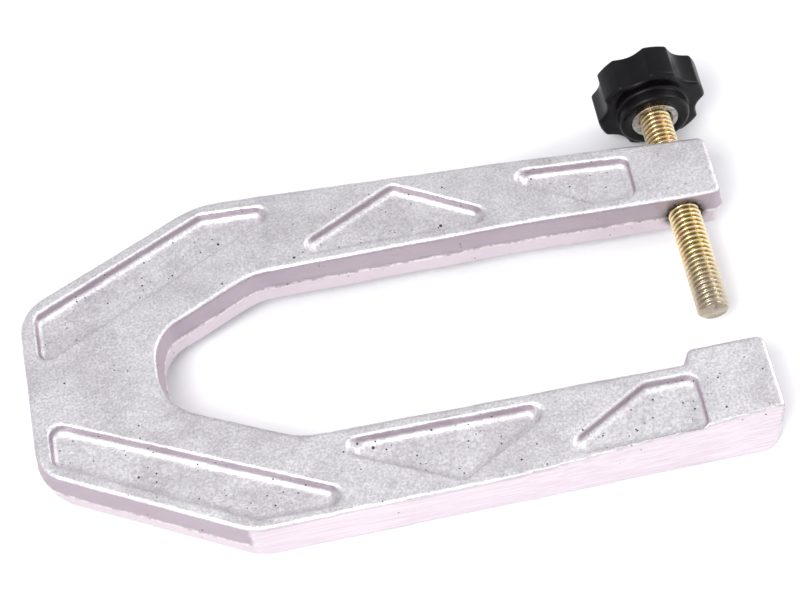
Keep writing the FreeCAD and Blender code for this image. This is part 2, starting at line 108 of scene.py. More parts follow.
@dataclass
class Surface:
    """A material being made: its tree, its shader and the object's coordinates in millimetres."""

    name: str
    material: bpy.types.Material = field(init=False)
    tree: bpy.types.NodeTree = field(init=False)
    shader: bpy.types.Node = field(init=False)
    place: bpy.types.NodeSocket = field(init=False)
    facing: bpy.types.NodeSocket = field(init=False)

    def __post_init__(self) -> None:
        """Start the node tree."""
        self.material = bpy.data.materials.new(self.name)
        self.material.use_nodes = True
        self.tree = self.material.node_tree
        self.shader = self.tree.nodes["Principled BSDF"]
        coordinates = self.add("TexCoord")
        self.facing = coordinates["Normal"]
        scaled = {"Vector": coordinates["Object"], "Scale": 1000.0}
        self.place = self.add("VectorMath", scaled, operation="SCALE")[0]

    def add(
        self,
        kind: str,
        inputs: Sequence[object] | dict[str | int, object] = (),
        stops: Sequence[tuple[float, str]] = (),
        **settings: object,
    ) -> bpy.types.bpy_prop_collection:
        """Add one node with its settings and links.

        Args:
            kind: the node's type, without "ShaderNode".
            inputs: values, or the outputs that feed them, in the sockets' order or by name or number.
            stops: positions from 0 to 1 with their hex colours, where the node has a colour ramp.
            settings: the node's own properties.

        Returns:
            The node's outputs.
        """
        node = self.tree.nodes.new("ShaderNode" + kind)
        for name, value in settings.items():
            setattr(node, name, value)
        for place, value in inputs.items() if isinstance(inputs, dict) else enumerate(inputs):
            if isinstance(value, bpy.types.NodeSocket):
                self.tree.links.new(value, node.inputs[place])
            else:
                node.inputs[place].default_value = value
        if stops:
            elements = node.color_ramp.elements
            while len(elements) < len(stops):
                elements.new(0.5)
            for element, (position, colour) in zip(elements, stops):
                element.position = position
                element.color = linear(colour)
        return node.outputs

    def set(self, **values: object) -> None:
        """Set the shader's own sockets, with underscores for the spaces in their names."""
        for name, value in values.items():
            self.shader.inputs[name.replace("_", " ")].default_value = value

    def feed(self, name: str, source: bpy.types.NodeSocket) -> None:
        """Link an output to one of the shader's sockets."""
        self.tree.links.new(source, self.shader.inputs[name])

    def noise(
        self,
        size_mm: float,
        detail: float = 2.0,
        rough: float = 0.5,
        stretch: tuple[float, float, float] = (1.0, 1.0, 1.0),
        shift: float = 0.0,
    ) -> bpy.types.NodeSocket:
        """Noise whose features have a real size.

        Args:
            size_mm: the size of one feature.
            detail: octaves.
            rough: how strong the finer octaves are.
            stretch: how much longer features are along each axis.
            shift: a place in the noise, so that two noises differ.

        Returns:
            The noise from 0 to 1.
        """
        scale = [1.0 / (size_mm * s) for s in stretch]
        moved = {"Vector": self.place, "Scale": scale, "Location": [shift] * 3}
        vector = self.add("Mapping", moved)[0]
        places = {"Vector": vector, "Scale": 1.0, "Detail": detail, "Roughness": rough}
        return self.add("TexNoise", places)["Fac"]

    def pits(self, cell_mm: float, radius_mm: float, share: object, shift: float) -> bpy.types.NodeSocket:
        """Scattered small round pits.

        Args:
            cell_mm: the spacing of the places where a pit may be.
            radius_mm: a pit's radius.
            share: the share of places with a pit, a number or a socket.
            shift: a place in the pattern, so that two patterns differ.

        Returns:
            1 inside a pit and 0 outside.
        """
        moved = {"Vector": self.place, "Scale": [1.0 / cell_mm] * 3, "Location": [shift] * 3}
        vector = self.add("Mapping", moved)[0]
        cells = self.add("TexVoronoi", {"Vector": vector, "Scale": 1.0})
        dice = self.add("SeparateColor", {"Color": cells["Color"]})
        chosen = self.add("Math", [dice[0], share], operation="LESS_THAN")[0]
        size = self.add("Math", [dice[1], radius_mm / cell_mm], operation="MULTIPLY")[0]
        size = self.add("Math", [size, 0.4 * radius_mm / cell_mm], operation="ADD")[0]
        inside = self.add("Math", [size, cells["Distance"]], operation="SUBTRACT")[0]
        round_pit = self.add("MapRange", [inside, 0.0, 0.45 * radius_mm / cell_mm, 0.0, 1.0], **SMOOTH)[0]
        return self.add("Math", [chosen, round_pit], operation="MULTIPLY")[0]


# ---- finishes ----


@dataclass(frozen=True)
class CastAluminium:
    """Aluminium alloy cast in sand: a matt grey metal skin with grain, gas pits and stains.

    The edges are painted bright, partly wear and partly painted highlight; the corners of the pockets, the
    gas pits and the bore's mouth are darkened with painted shade; the steep faces carry painted shade and a
    painted highlight on the ridge; and the outer faces that were ground on a belt are smoother, paler and
    finely lined.
    """

    clean: str = "#EFEDEF"
    dull: str = "#DFDBDF"
    stain: str = "#CBC5C1"
    # Painted shade for the corners of the pockets.
    corner_shade: str = "#54475A"
    # Painted shade inside the gas pits.
    pit: str = "#2B2629"
    # Painted shade at the bore's mouth.
    bore_mouth_shade: str = "#332D2C"
    # The edges' colour, partly wear and partly painted highlight.
    worn_and_highlit: str = "#FBF9FB"
    ground: str = "#E4DCE1"
    ground_line: str = "#D2C4CC"
    # Painted shade on the steep faces' upper and lower halves, and a painted highlight on the ridge.
    flank: str = "#AD9DA8"
    under: str = "#DACDD4"
    ridge: str = "#F6F0EC"
    rough: float = 0.5
    rough_ground: float = 0.34
    grain_mm: float = 0.7
    # Belt lines are finer than this; they are drawn coarser so that they show.
    line_mm: float = 0.35

    def make(self) -> bpy.types.Material:
        """Build the node tree.

        Returns:
            The material.
        """
        s = Surface("sand_cast_aluminium")
        s.set(Metallic=1.0)
        ground = s.add("Attribute", attribute_name="ground")["Fac"]
        pocket = s.add("Attribute", attribute_name="pocket")["Fac"]
        edge = s.add("Attribute", attribute_name="edge")["Fac"]
        hollow = s.add("Attribute", attribute_name="hollow")["Fac"]
        bore = s.add("Attribute", attribute_name="bore")["Fac"]
        cloud = s.noise(14.0, 5.0, 0.6)
        grain = s.noise(self.grain_mm, 3.0, 0.6, shift=3.0)
        # The skin: soft clouds, grey blots and fine grain.
        clouded = s.add("MapRange", [cloud, 0.42, 0.68, 0.0, 1.0], **SMOOTH)[0]
        colour = s.add("Mix", {0: clouded, 6: linear(self.clean), 7: linear(self.dull)}, **COLOURS)[2]
        blot = s.add("MapRange", [s.noise(22.0, 6.0, 0.7, shift=31.0), 0.56, 0.74, 0.0, 1.0], **SMOOTH)[0]
        blot = s.add("Math", [blot, 0.55], operation="MULTIPLY")[0]
        colour = s.add("Mix", {0: blot, 6: colour, 7: linear(self.stain)}, **COLOURS)[2]
        shade = s.add(
            "CombineColor",
            {i: s.add("MapRange", [grain, 0.2, 0.8, 0.78, 1.1], **SMOOTH)[0] for i in range(3)},
        )
        colour = s.add("Mix", {0: 1.0, 6: colour, 7: shade[0]}, **COLOURS, blend_type="MULTIPLY")[2]
        # The steep edge faces are painted in shade, darker on the upper half and lighter on the lower half,
        # either side of the parting ridge, which carries a painted highlight.
        apart = s.add("SeparateXYZ", {0: s.facing})
        upright = s.add("Math", [apart[2]], operation="ABSOLUTE")[0]
        steep = s.add("MapRange", [upright, 0.75, 0.35, 0.0, 0.8], **SMOOTH)[0]
        wave = s.add("Math", [s.noise(4.0, 3.0, 0.6, shift=27.0), 1.6], operation="MULTIPLY")[0]
        height = s.add("Math", [s.add("SeparateXYZ", {0: s.place})[2], wave], operation="ADD")[0]
        lower = s.add("MapRange", [height, 0.9, 0.3, 0.0, 1.0], **SMOOTH)[0]
        side = s.add("Mix", {0: lower, 6: linear(self.flank), 7: linear(self.under)}, **COLOURS)[2]
        colour = s.add("Mix", {0: steep, 6: colour, 7: side}, **COLOURS)[2]
        # A painted highlight along the parting ridge.
        off_ridge = s.add("Math", [height, 0.8], operation="SUBTRACT")[0]
        off_ridge = s.add("Math", [off_ridge], operation="ABSOLUTE")[0]
        parting = s.add("MapRange", [off_ridge, 0.8, 0.3, 0.0, 1.0], **SMOOTH)[0]
        broken = s.add("MapRange", [s.noise(1.8, 3.0, 0.6, shift=29.0), 0.36, 0.56, 0.15, 1.0], **SMOOTH)[0]
        parting = s.add("Math", [parting, broken], operation="MULTIPLY")[0]
        parting = s.add("Math", [parting, steep], operation="MULTIPLY")[0]
        colour = s.add("Mix", {0: parting, 6: colour, 7: linear(self.ridge)}, **COLOURS)[2]
        # The ground faces' lines, painted shade in the corners, and the edges painted bright, partly wear and
        # partly painted highlight.
        lines = s.noise(self.line_mm, 3.0, 0.6, stretch=(60.0, 1.0, 1.0), shift=11.0)
        brushed = s.add("ValToRGB", [lines], stops=((0.3, self.ground_line), (0.62, self.ground)))[0]
        colour = s.add("Mix", {0: ground, 6: colour, 7: brushed}, **COLOURS)[2]
        # Painted shade in the hollows, broken up by noise.
        corner_shading = s.add("MapRange", [s.noise(3.0, 3.0, 0.6, shift=5.0), 0.25, 0.6, 0.0, 1.0], **SMOOTH)[0]
        corner_shading = s.add("Math", [hollow, corner_shading], operation="MULTIPLY")[0]
        corner_shading = s.add("Math", [corner_shading, 0.9], operation="MULTIPLY")[0]
        colour = s.add("Mix", {0: corner_shading, 6: colour, 7: linear(self.corner_shade)}, **COLOURS)[2]
        # The edges: partly wear and partly painted highlight.
        rubbed_and_lit = s.add("MapRange", [s.noise(1.6, 2.0, 0.6, shift=8.0), 0.3, 0.6, 0.0, 0.7], **SMOOTH)[0]
        wear_and_highlight = s.add("Math", [edge, rubbed_and_lit], operation="MULTIPLY")[0]
        colour = s.add("Mix", {0: wear_and_highlight, 6: colour, 7: linear(self.worn_and_highlit)}, **COLOURS)[2]
        # The gas pits, darkened with painted shade, more in the pockets and almost none on the ground faces,
        # and painted shade at the bore's mouth.
        where = s.add("MapRange", [s.noise(11.0, 3.0, 0.6, shift=17.0), 0.5, 0.72, 0.02, 0.5], **SMOOTH)[0]
        sunk = s.add("Math", [pocket, 0.22], operation="MULTIPLY")[0]
        where = s.add("Math", [where, sunk], operation="ADD")[0]
        dressed = s.add("Math", [ground, 0.95], operation="MULTIPLY")[0]
        bare = s.add("Math", [1.0, dressed], operation="SUBTRACT")[0]
        where = s.add("Math", [where, bare], operation="MULTIPLY")[0]
        small = s.pits(1.3, 0.25, where, 2.0)
        seldom = s.add("Math", [where, 0.55], operation="MULTIPLY")[0]
        large = s.pits(3.1, 0.42, seldom, 9.0)
        holes = s.add("Math", [small, large], operation="MAXIMUM")[0]
        # The pits are darkened with painted shade.
        dark = s.add("Math", [holes, 0.9], operation="MULTIPLY")[0]
        colour = s.add("Mix", {0: dark, 6: colour, 7: linear(self.pit)}, **COLOURS)[2]
        # Painted shade at the bore's mouth, in patches.
        patchy = s.add("MapRange", [s.noise(1.2, 3.0, 0.6, shift=23.0), 0.3, 0.6, 0.5, 1.0], **SMOOTH)[0]
        bore_shading = s.add("Math", [bore, patchy], operation="MULTIPLY")[0]
        colour = s.add("Mix", {0: bore_shading, 6: colour, 7: linear(self.bore_mouth_shade)}, **COLOURS)[2]
        s.feed("Base Color", colour)
        rough = s.add("MapRange", [grain, 0.2, 0.8, self.rough - 0.07, self.rough + 0.07], **SMOOTH)[0]
        rough = s.add("Mix", {"Factor": ground, 2: rough, 3: self.rough_ground})[0]
        s.feed("Roughness", rough)
        # The relief: grain and sand lumps, ground lines and pits, laid over one another.
        coarse = s.add("Math", [1.0, ground], operation="SUBTRACT")[0]
        skin = s.add("Math", [grain, coarse], operation="MULTIPLY")[0]
        normal = s.add("Bump", {"Height": skin, "Distance": mm(0.1)})[0]
        lumps = s.add("Math", [s.noise(3.2, 2.0, 0.5, shift=41.0), coarse], operation="MULTIPLY")[0]
        normal = s.add("Bump", {"Height": lumps, "Distance": mm(0.16), "Normal": normal})[0]
        scratches = s.add("Math", [lines, ground], operation="MULTIPLY")[0]
        normal = s.add("Bump", {"Height": scratches, "Distance": mm(0.02), "Normal": normal})[0]
        level = s.add("Math", [1.0, holes], operation="SUBTRACT")[0]
        normal = s.add("Bump", {"Height": level, "Distance": mm(0.25), "Normal": normal})[0]
        s.feed("Normal", normal)
        return s.material


@dataclass(frozen=True)
class YellowZinc:
    """Steel with yellow-passivated zinc plating: a bright gold skin with faint pink and green films.

    The colour is darker down in the grooves, painted shade, and paler on the crests, painted highlight.
    """

    root_mm: float
    crest_mm: float
    tip_y_mm: float
    groove_shade: str = "#85703F"
    flank: str = "#DCC085"
    crest_highlight: str = "#F8EDC9"
    pink: str = "#E0A58C"
    green: str = "#B7BE78"
    steel: str = "#C4BBA8"

    def make(self) -> bpy.types.Material:
        """Build the node tree.

        Returns:
            The material.
        """
        s = Surface("yellow_zinc_plated_steel")
        s.set(Metallic=1.0)
        apart = s.add("SeparateXYZ", {0: s.place})
        across = s.add("CombineXYZ", {0: apart[0], 2: apart[2]})
        radius = s.add("VectorMath", {0: across[0]}, operation="LENGTH")["Value"]
        height = s.add("MapRange", [radius, self.root_mm, self.crest_mm, 0.0, 1.0], **SMOOTH)[0]
        # Painted shade in the grooves and a painted highlight on the crests.
        colour = s.add(
            "ValToRGB", [height], stops=((0.0, self.groove_shade), (0.5, self.flank), (0.95, self.crest_highlight))
        )[0]
        film = s.noise(2.6, 3.0, 0.6)
        film = s.add("MapRange", [film, 0.52, 0.72, 0.0, 0.55], **SMOOTH)[0]
        colour = s.add("Mix", {0: film, 6: colour, 7: linear(self.pink)}, **COLOURS)[2]
        film = s.noise(3.4, 3.0, 0.6, shift=13.0)
        film = s.add("MapRange", [film, 0.54, 0.75, 0.0, 0.5], **SMOOTH)[0]
        colour = s.add("Mix", {0: film, 6: colour, 7: linear(self.green)}, **COLOURS)[2]
        uneven = s.add("Math", [s.noise(4.0), 6.0], operation="MULTIPLY")[0]
        along = s.add("Math", [apart[1], uneven], operation="ADD")[0]
        bare = s.add("MapRange", [along, self.tip_y_mm + 5.0, self.tip_y_mm + 26.0, 0.85, 0.0], **SMOOTH)[0]
        colour = s.add("Mix", {0: bare, 6: colour, 7: linear(self.steel)}, **COLOURS)[2]
        s.feed("Base Color", colour)
        s.feed("Roughness", s.add("MapRange", [s.noise(0.9, 2.0), 0.3, 0.7, 0.2, 0.34], **SMOOTH)[0])
        fine = s.noise(0.35, 2.0, 0.6, shift=4.0)
        s.feed("Normal", s.add("Bump", {"Height": fine, "Distance": mm(0.012)})[0])
        return s.material


@dataclass(frozen=True)
class MouldedPlastic:
    """Black glass-filled plastic, injection moulded: a soft satin sheen with a few pale nicks."""

    body: str = "#070507"
    faded: str = "#110E11"
    nick: str = "#B9B3B5"
    rough_side: float = 0.36
    rough_face: float = 0.2

    def make(self) -> bpy.types.Material:
        """Build the node tree.

        Returns:
            The material.
        """
        s = Surface("moulded_black_plastic")
        s.set(Metallic=0.0, IOR=1.5, Specular_IOR_Level=0.22)
        fade = s.add("MapRange", [s.noise(6.0, 4.0, 0.6), 0.4, 0.7, 0.0, 1.0], **SMOOTH)[0]
        colour = s.add("Mix", {0: fade, 6: linear(self.body), 7: linear(self.faded)}, **COLOURS)[2]
        nicks = s.pits(2.4, 0.14, 0.05, 6.0)
        colour = s.add("Mix", {0: nicks, 6: colour, 7: linear(self.nick)}, **COLOURS)[2]
        s.feed("Base Color", colour)
        apart = s.add("SeparateXYZ", {0: s.facing})
        lengthwise = s.add("Math", [apart[1]], operation="ABSOLUTE")[0]
        flat = s.add("MapRange", [lengthwise, 0.6, 0.95, 0.0, 1.0], **SMOOTH)[0]
        spread = (self.rough_side - 0.05, self.rough_side + 0.06)
        satin = s.add("MapRange", [s.noise(1.1, 3.0, 0.6, shift=2.0), 0.3, 0.7, *spread], **SMOOTH)[0]
        s.feed("Roughness", s.add("Mix", {"Factor": flat, 2: satin, 3: self.rough_face})[0])
        normal = s.add("Bump", {"Height": s.noise(0.5, 2.0, 0.5, shift=8.0), "Distance": mm(0.01)})[0]
        sinks = s.noise(7.0, 2.0, 0.5, shift=12.0)
        s.feed("Normal", s.add("Bump", {"Height": sinks, "Distance": mm(0.06), "Normal": normal})[0])
        return s.material


@dataclass(frozen=True)
class TurnedMetal:
    """Bright metal turned on a lathe: a pale ring with fine concentric tool lines."""

    bright: str = "#D6D3CF"
    dull: str = "#A9A49E"
    # Tool lines are finer than this; they are drawn coarser so that they show.
    feed_mm: float = 0.22

    def make(self) -> bpy.types.Material:
        """Build the node tree.

        Returns:
            The material.
        """
        s = Surface("turned_bush_metal")
        s.set(Metallic=1.0)
        apart = s.add("SeparateXYZ", {0: s.place})
        across = s.add("CombineXYZ", {0: apart[0], 2: apart[2]})
        radius = s.add("VectorMath", {0: across[0]}, operation="LENGTH")["Value"]
        turns = s.add("Math", [radius, 2 * math.pi / self.feed_mm], operation="MULTIPLY")[0]
        turns = s.add("Math", [turns], operation="SINE")[0]
        lines = s.add("MapRange", [turns, -1.0, 1.0, 0.0, 1.0], **SMOOTH)[0]
        tarnish = s.add("MapRange", [s.noise(1.5, 3.0), 0.4, 0.7, 0.0, 1.0], **SMOOTH)[0]
        colour = s.add("Mix", {0: tarnish, 6: linear(self.bright), 7: linear(self.dull)}, **COLOURS)[2]
        s.feed("Base Color", colour)
        polish = s.noise(0.8, 2.0, shift=5.0)
        s.feed("Roughness", s.add("MapRange", [polish, 0.3, 0.7, 0.2, 0.32], **SMOOTH)[0])
        s.feed("Normal", s.add("Bump", {"Height": lines, "Distance": mm(0.008)})[0])
        return s.material


@dataclass(frozen=True)
class StudioPaper:
    """Matt white paper under the object: pale, with an even, barely visible mottle."""

    white: str = "#FBFBFC"
    shade: str = "#F6F6F8"

    def make(self) -> bpy.types.Material:
        """Build the node tree.

        Returns:
            The material.
        """
        s = Surface("studio_paper")
        s.set(Roughness=0.9)
        mottle = s.add("MapRange", [s.noise(40.0, 2.0), 0.3, 0.7, 0.0, 1.0], **SMOOTH)[0]
        colour = s.add("Mix", {0: mottle, 6: linear(self.white), 7: linear(self.shade)}, **COLOURS)[2]
        s.feed("Base Color", colour)
        return s.material


# ---- meshes ----


def grid_object(
    name: str, rings: np.ndarray, loop: bool = False, caps: bool = True
) -> bpy.types.Object:
    """A surface through rings of points.

    Args:
        name: the new object's name.
        rings: points by ring, place on the ring and axis; each ring closes on itself.
        loop: join the last ring to the first.
        caps: close the first and last rings with fans of triangles.

    Returns:
        The new object, in the scene.
    """
    count, around, _ = rings.shape
    vertices = rings.reshape(-1, 3).tolist()
    faces = []
    for ring in range(count if loop else count - 1):
        after = (ring + 1) % count
        for step in range(around):
            ahead = (step + 1) % around
            near, far = ring * around, after * around
            faces.append((near + step, near + ahead, far + ahead, far + step))
    if caps and not loop:
        for ring, flip in ((0, True), (count - 1, False)):
            centre = len(vertices)
            vertices.append(rings[ring].mean(axis=0).tolist())
            for step in range(around):
                here, ahead = ring * around + step, ring * around + (step + 1) % around
                faces.append((centre, ahead, here) if flip else (centre, here, ahead))
    mesh = bpy.data.meshes.new(name)
    mesh.from_pydata(vertices, [], faces)
    return placed(name, mesh)


def placed(name: str, mesh: bpy.types.Mesh) -> bpy.types.Object:
    """Put a mesh in the scene, with its faces turned outwards and shaded smooth.

    Args:
        name: the new object's name.
        mesh: its mesh.

    Returns:
        The new object.
    """
    shell = bmesh.new()
    shell.from_mesh(mesh)
    bmesh.ops.recalc_face_normals(shell, faces=shell.faces)
    shell.to_mesh(mesh)
    shell.free()
    mesh.shade_smooth()
    piece = bpy.data.objects.new(name, mesh)
    bpy.context.scene.collection.objects.link(piece)
    return piece


def arc(
    centre: tuple[float, float], radius: float, start: float, end: float, steps: int = 5
) -> list[tuple[float, float]]:
    """Points along an arc in a profile.

    Args:
        centre: the arc's centre, as radius and height.
        radius: the arc's radius.
        start: the first angle in degrees, from the outward direction towards greater height.
        end: the last angle in degrees.
        steps: how many points.

    Returns:
        The points, as radius and height.
    """
    angles = np.radians(np.linspace(start, end, steps))
    return [(centre[0] + radius * math.cos(a), centre[1] + radius * math.sin(a)) for a in angles]


def turned(
    profile: Sequence[tuple[float, float]], around: int, outline: Callable[[float, np.ndarray], np.ndarray]
) -> np.ndarray:
    """Rings of a shape turned about the screw's axis.

    Args:
        profile: radius and height along the screw, ring by ring.
        around: points on each ring.
        outline: gives a ring's radius at each angle from its nominal radius.

    Returns:
        Points by ring, place on the ring and axis.
    """
    angles = np.linspace(0.0, 2 * math.pi, around, endpoint=False)
    rings = []
    for radius, height in profile:
        reach = outline(radius, angles)
        level = np.full(around, height)
        rings.append(np.stack([reach * np.sin(angles), level, reach * np.cos(angles)], axis=1))
    return np.array(rings)


def keep_round(radius: float, angles: np.ndarray) -> np.ndarray:
    """A plain round ring: the same radius at each angle."""
    return np.full(angles.shape, radius)


def crisp(piece: bpy.types.Object, degrees: float) -> None:
    """Shade edges sharper than an angle as sharp.

    Args:
        piece: the object.
        degrees: the least angle of a sharp edge.
    """
    piece.data.set_sharp_from_angle(angle=math.radians(degrees))


def dress(piece: bpy.types.Object, material: bpy.types.Material, body: Body, node: Node) -> None:
    """Give a piece its finish and its place in the model.

    Args:
        piece: the new object.
        material: its material.
        body: the body it rides on.
        node: the CAD node it stands for.
    """
    piece.data.materials.clear()
    piece.data.materials.append(material)
    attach(piece, body.value)
    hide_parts(node.value)
    log.info("%s: %d faces, rides on %s", piece.name, len(piece.data.polygons), body.value)


# ---- the casting ----


@dataclass
class CastFrame:
    """The one-piece casting, with an uneven skin, a wavy parting ridge and edges painted bright, partly wear
    and partly painted highlight.
    """

    voxel: float = mm(0.6)
    bore_radius: float = mm(4.84)
    bore_chamfer: float = mm(0.9)
    plug_radius: float = mm(5.6)
    plug_inset: float = mm(1.5)
    lower_ground: float = mm(7.0)
    upper_ground: float = mm(16.0)
    ground_length: float = mm(139.0)
    anvil_length: float = mm(14.0)
    bulge: float = mm(0.16)
    bulge_size: float = mm(13.0)
    ripple: float = mm(0.05)
    ripple_size: float = mm(2.6)
    ridge_wave: float = mm(0.34)
    ridge_size: float = mm(5.0)
    ridge_half_height: float = mm(1.0)
    flat_top: float = field(init=False)
    lower_y: float = field(init=False)
    upper_y: float = field(init=False)

    def __post_init__(self) -> None:
        """Read the casting's own faces from its box."""
        low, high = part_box(Node.FRAME.value)
        self.flat_top = high.z
        self.lower_y = low.y
        self.upper_y = high.y

    def build(self) -> bpy.types.Object:
        """Make the casting.

        Returns:
            The dressed object.
        """
        piece = self.resurfaced()
        self.roughen(piece)
        self.drill(piece)
        piece.data.shade_smooth()
        self.paint(piece)
        dress(piece, CastAluminium().make(), Body.FRAME, Node.FRAME)
        return piece

    def resurfaced(self) -> bpy.types.Object:
        """The casting's solid as one even mesh, with its bore closed.

        Returns:
            The new object.
        """
        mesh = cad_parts[Node.FRAME.value].data.copy()
        shell = bmesh.new()
        shell.from_mesh(mesh)
        bmesh.ops.remove_doubles(shell, verts=shell.verts, dist=mm(0.002))
        low, high = self.bore_span()
        depth = high - low - 2 * self.plug_inset
        middle = Matrix.Translation((0.0, (low + high) / 2, 0.0)) @ Matrix.Rotation(math.pi / 2, 4, "X")
        bmesh.ops.create_cone(
            shell, cap_ends=True, segments=64, radius1=self.plug_radius, radius2=self.plug_radius,
            depth=depth, matrix=middle,
        )
        shell.to_mesh(mesh)
        shell.free()
        piece = bpy.data.objects.new("cast_frame", mesh)
        bpy.context.scene.collection.objects.link(piece)
        even = piece.modifiers.new("even", "REMESH")
        even.mode = "VOXEL"
        even.voxel_size = self.voxel
        even.adaptivity = 0.0
        self.apply(piece)
        return piece

    def bore_span(self) -> tuple[float, float]:
        """Where the bore meets the arm's inner and outer faces.

        Returns:
            The two places along the screw.
        """
        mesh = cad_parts[Node.FRAME.value].data
        points = np.array([v.co for v in mesh.vertices])
        near = np.hypot(points[:, 0], points[:, 2]) < self.plug_radius
        heights = points[near & (points[:, 1] > mm(20.0)), 1]
        return float(heights.min()), float(heights.max())

    @staticmethod
    def apply(piece: bpy.types.Object) -> None:
        """Make a piece's modifiers part of its mesh.

        Args:
            piece: the object with the modifiers.
        """
        graph = bpy.context.evaluated_depsgraph_get()
        made = bpy.data.meshes.new_from_object(piece.evaluated_get(graph))
        piece.modifiers.clear()
        piece.data = made

    def roughen(self, piece: bpy.types.Object) -> None:
        """Move the skin a little, as sand leaves it; the ground and machined faces stay flat.

        Args:
            piece: the casting.
        """
        mesh = piece.data
        points, normals = self.skin(mesh)
        flat = self.ground_share(mesh)
        offset = Vector((SEED, SEED, SEED))
        lift = np.zeros(len(points))
        for index in np.flatnonzero(flat < 0.99):
            place = Vector(points[index])
            height = self.bulge * noise.fractal(place / self.bulge_size + offset, 0.8, 2.0, 3)
            height += self.ripple * noise.noise(place / self.ripple_size - offset)
            side = 1.0 - abs(normals[index, 2])
            ridge = math.exp(-((place.z / self.ridge_half_height) ** 2)) * side
            height += self.ridge_wave * ridge * noise.noise(place / self.ridge_size + 2 * offset)
            lift[index] = height * (1.0 - flat[index])
        points += normals * lift[:, None]
        mesh.vertices.foreach_set("co", points.ravel())
        mesh.update()

    @staticmethod
    def skin(mesh: bpy.types.Mesh) -> tuple[np.ndarray, np.ndarray]:
        """A mesh's points and their normals.

        Args:
            mesh: the mesh to read.

        Returns:
            The points and the normals, one row for each point.
        """
        count = len(mesh.vertices)
        points, normals = np.empty(count * 3), np.empty(count * 3)
        mesh.vertices.foreach_get("co", points)
        mesh.vertex_normals.foreach_get("vector", normals)
        return points.reshape(-1, 3), normals.reshape(-1, 3)

    def ground_share(self, mesh: bpy.types.Mesh) -> np.ndarray:
        """How far each point lies on a ground or machined face.

        Args:
            mesh: the casting's mesh.

        Returns:
            A share from 0 to 1 for each point.
        """
        points, normals = self.skin(mesh)
        across = np.hypot(normals[:, 0], normals[:, 1])
        outward = np.abs(normals[:, 1]) > 0.92 * np.maximum(across, 1e-6)
        lower = outward & (normals[:, 1] < -0.85) & (points[:, 1] < self.lower_y + self.lower_ground)
        upper = outward & (normals[:, 1] > 0.93) & (points[:, 1] > self.upper_y - self.upper_ground)
        right = points[:, 0] > -self.ground_length
        anvil = (np.abs(points[:, 1]) < mm(0.4)) & (points[:, 0] > -self.anvil_length) & (normals[:, 1] > 0.9)
        return ((lower & right) | (upper & right) | anvil).astype(float)

    def drill(self, piece: bpy.types.Object) -> None:
        """Cut the bore with a chamfer at each mouth.

        Args:
            piece: the casting.
        """
        low, high = self.bore_span()
        wide = self.bore_radius + self.bore_chamfer
        margin = mm(3.0)
        profile = [
            (wide + margin, low - margin), (wide, low), (self.bore_radius, low + self.bore_chamfer),
            (self.bore_radius, high - self.bore_chamfer), (wide, high), (wide + margin, high + margin),
        ]
        cutter = grid_object("bore_cutter", turned(profile, 96, keep_round))
        cut = piece.modifiers.new("bore", "BOOLEAN")
        cut.operation = "DIFFERENCE"
        cut.object = cutter
        cut.solver = "EXACT"
        self.apply(piece)
        bpy.data.objects.remove(cutter)

    def paint(self, piece: bpy.types.Object) -> None:
        """Paint masks for the ground faces, the edges with their wear and painted highlight, the hollows and
        the bore's mouth that take painted shade, and the pockets.

        Args:
            piece: the casting.
        """
        mesh = piece.data
        points, normals = self.skin(mesh)
        ends = np.empty(len(mesh.edges) * 2, dtype=np.int64)
        mesh.edges.foreach_get("vertices", ends)
        ends = ends.reshape(-1, 2)
        bend = self.bending(points, normals, ends)
        flat_face = np.abs(normals[:, 2])
        depth = self.flat_top - np.abs(points[:, 2])
        sunk = (depth > mm(0.8)) & (depth < mm(4.2)) & (flat_face > 0.25)
        radius = np.hypot(points[:, 0], points[:, 2])
        low, _ = self.bore_span()
        # The bore's mouth, where painted shade goes.
        near_mouth = np.exp(-(((radius - self.bore_radius) / mm(1.6)) ** 2))
        bore_shading = near_mouth * (np.abs(points[:, 1] - low) < mm(2.2)) * (radius < mm(11.0))
        masks = {
            "ground": self.spread(self.ground_share(mesh), ends, 1),
            "edge": np.clip((bend - 0.16) / 0.22, 0.0, 1.0),
            "hollow": self.spread(np.clip((-bend - 0.10) / 0.2, 0.0, 1.0), ends, 2),
            "pocket": self.spread(sunk.astype(float), ends, 2),
            "bore": bore_shading,
        }
        for name, values in masks.items():
            layer = mesh.attributes.new(name, "FLOAT", "POINT")
            layer.data.foreach_set("value", values.astype(np.float32))

    @staticmethod
    def bending(points: np.ndarray, normals: np.ndarray, ends: np.ndarray) -> np.ndarray:
        """How sharply the skin bends at each point: above zero on edges, below in corners.

        Args:
            points: where the points are.
            normals: the points' normals.
            ends: the two points of each edge.

        Returns:
            The bend of each point.
        """
        run = points[ends[:, 1]] - points[ends[:, 0]]
        run /= np.maximum(np.linalg.norm(run, axis=1, keepdims=True), 1e-9)
        total = np.zeros(len(points))
        count = np.zeros(len(points))
        np.add.at(total, ends[:, 0], -np.einsum("ij,ij->i", run, normals[ends[:, 0]]))
        np.add.at(total, ends[:, 1], np.einsum("ij,ij->i", run, normals[ends[:, 1]]))
        np.add.at(count, ends.ravel(), 1.0)
        return total / np.maximum(count, 1.0)

    @staticmethod
    def spread(values: np.ndarray, ends: np.ndarray, rounds: int) -> np.ndarray:
        """Blur values over neighbouring points.

        Args:
            values: one value for each point.
            ends: the two points of each edge.
            rounds: how many times to blur.

        Returns:
            The blurred values.
        """
        for _ in range(rounds):
            total = values.copy()
            count = np.ones(len(values))
            np.add.at(total, ends[:, 0], values[ends[:, 1]])
            np.add.at(total, ends[:, 1], values[ends[:, 0]])
            np.add.at(count, ends.ravel(), 1.0)
            values = total / count
        return values


# ---- the screw ----


